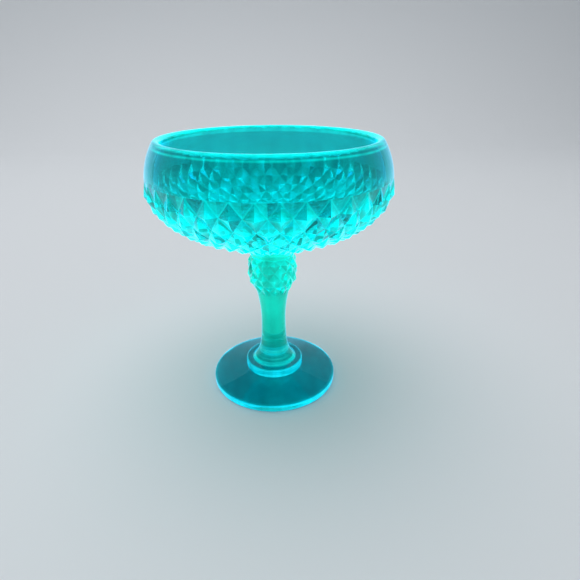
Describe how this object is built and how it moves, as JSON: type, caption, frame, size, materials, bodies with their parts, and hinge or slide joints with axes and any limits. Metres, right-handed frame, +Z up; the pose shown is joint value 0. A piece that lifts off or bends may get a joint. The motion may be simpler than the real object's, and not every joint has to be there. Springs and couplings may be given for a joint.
{
  "type": "footed glass dish",
  "caption": "Footed dish in pressed uranium glass: diamond-pointed bowl with a smooth collar and rounded rim, solid stem with a diamond knop, round stepped foot.",
  "frame": {"origin": "centre of the foot's underside, on the plane it stands on", "axes": "+Z up along the axis of the stem and bowl; the dish is round, so +X and +Y are free"},
  "size_m": [0.1626, 0.1624, 0.1838],
  "materials": {
    "foot_glass": "smooth pressed uranium glass, glowing faintly under ultraviolet light",
    "step_glass": "smooth pressed uranium glass, glowing under ultraviolet light",
    "stem_glass": "smooth pressed uranium glass, glowing under ultraviolet light",
    "knop_glass": "diamond-pointed pressed uranium glass, glowing under ultraviolet light",
    "neck_glass": "smooth pressed uranium glass, glowing under ultraviolet light",
    "bowl_glass": "smooth inside and collar, diamond-pointed outside, pressed uranium glass glowing under ultraviolet light"
  },
  "bodies": {
    "root": {"foot": "foot_glass", "foot_step": "step_glass", "stem": "stem_glass", "knop": "knop_glass", "neck": "neck_glass", "bowl": "bowl_glass"}
  },
  "joints": []
}
